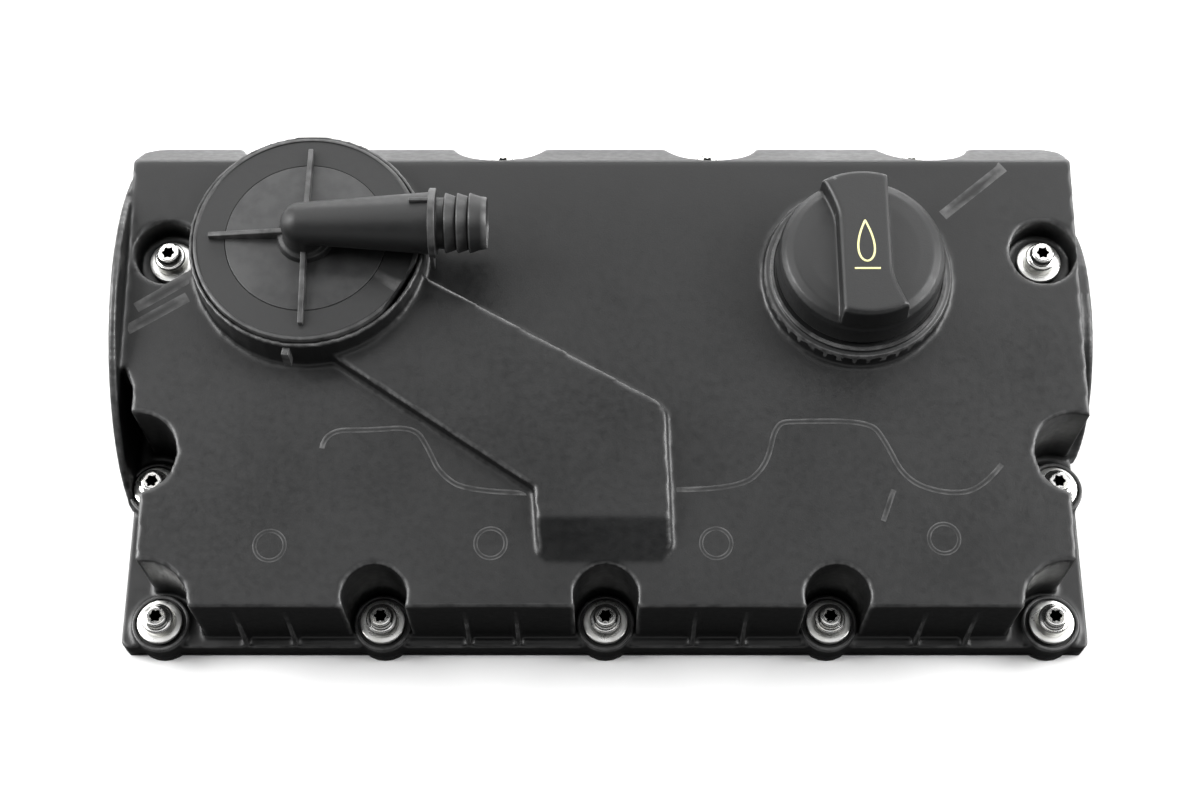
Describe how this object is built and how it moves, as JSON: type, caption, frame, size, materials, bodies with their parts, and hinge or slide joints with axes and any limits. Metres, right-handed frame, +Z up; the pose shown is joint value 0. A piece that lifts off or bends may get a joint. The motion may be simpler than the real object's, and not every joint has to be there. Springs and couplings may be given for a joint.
{
  "type": "cylinder head cover",
  "caption": "Moulded cover for the top of an in-line engine's cylinder head, with a round breather, a hose outlet and an oil filler cap.",
  "frame": {"origin": "middle of the seated footprint, on the gasket's underside", "axes": "+X along the engine, away from the tall end plate; +Y to the rear edge, which the sloping strip faces; +Z up"},
  "size_m": [0.424, 0.2433, 0.1138],
  "materials": {
    "cover_plastic": "fine-grained moulded black",
    "lid_plastic": "fine-grained moulded black",
    "cap_plastic": "fine-grained moulded black with a satin grip",
    "rubber": "matt moulded rubber",
    "bolt_steel": "bright zinc plated",
    "washer_steel": "bright zinc plated",
    "spring_steel": "plain spring wire"
  },
  "bodies": {
    "root": {"cover_shell": "cover_plastic", "cover_gasket": "rubber", "baffle_plate": "cover_plastic", "breather_lid": "lid_plastic", "breather_diaphragm": "rubber", "breather_spring": "spring_steel", "cover_bolt_01": "bolt_steel", "bolt_washer_01": "washer_steel", "bolt_grommet_01": "rubber", "cover_bolt_02": "bolt_steel", "bolt_washer_02": "washer_steel", "bolt_grommet_02": "rubber", "cover_bolt_03": "bolt_steel", "bolt_washer_03": "washer_steel", "bolt_grommet_03": "rubber", "cover_bolt_04": "bolt_steel", "bolt_washer_04": "washer_steel", "bolt_grommet_04": "rubber", "cover_bolt_05": "bolt_steel", "bolt_washer_05": "washer_steel", "bolt_grommet_05": "rubber", "cover_bolt_06": "bolt_steel", "bolt_washer_06": "washer_steel", "bolt_grommet_06": "rubber", "cover_bolt_07": "bolt_steel", "bolt_washer_07": "washer_steel", "bolt_grommet_07": "rubber", "cover_bolt_08": "bolt_steel", "bolt_washer_08": "washer_steel", "bolt_grommet_08": "rubber", "cover_bolt_09": "bolt_steel", "bolt_washer_09": "washer_steel", "bolt_grommet_09": "rubber", "cover_bolt_10": "bolt_steel", "bolt_washer_10": "washer_steel", "bolt_grommet_10": "rubber", "cover_bolt_11": "bolt_steel", "bolt_washer_11": "washer_steel", "bolt_grommet_11": "rubber", "cover_bolt_12": "bolt_steel", "bolt_washer_12": "washer_steel", "bolt_grommet_12": "rubber", "cover_bolt_13": "bolt_steel", "bolt_washer_13": "washer_steel", "bolt_grommet_13": "rubber"},
    "filler_seal": {"filler_seal_ring": "rubber"},
    "filler_cap": {"filler_cap": "cap_plastic", "filler_cap_core": "cap_plastic"},
    "diaphragm_plate": {"diaphragm_plate": "lid_plastic"}
  },
  "joints": [
    {"name": "filler_cap_lift", "type": "slide", "parent": "root", "child": "filler_seal", "axis": [0, 0, 1], "range_m": [0, 0.045]},
    {"name": "filler_cap_turn", "type": "hinge", "parent": "filler_seal", "child": "filler_cap", "pos_m": [0.109, 0.031, 0.09], "axis": [0, 0, 1], "range_deg": [-90, 0]},
    {"name": "diaphragm_travel", "type": "slide", "parent": "root", "child": "diaphragm_plate", "axis": [0, 0, -1], "range_m": [0, 0.006], "stiffness_N_per_m": 200, "springref_m": -0.002, "deforming": ["breather_spring"]}
  ]
}
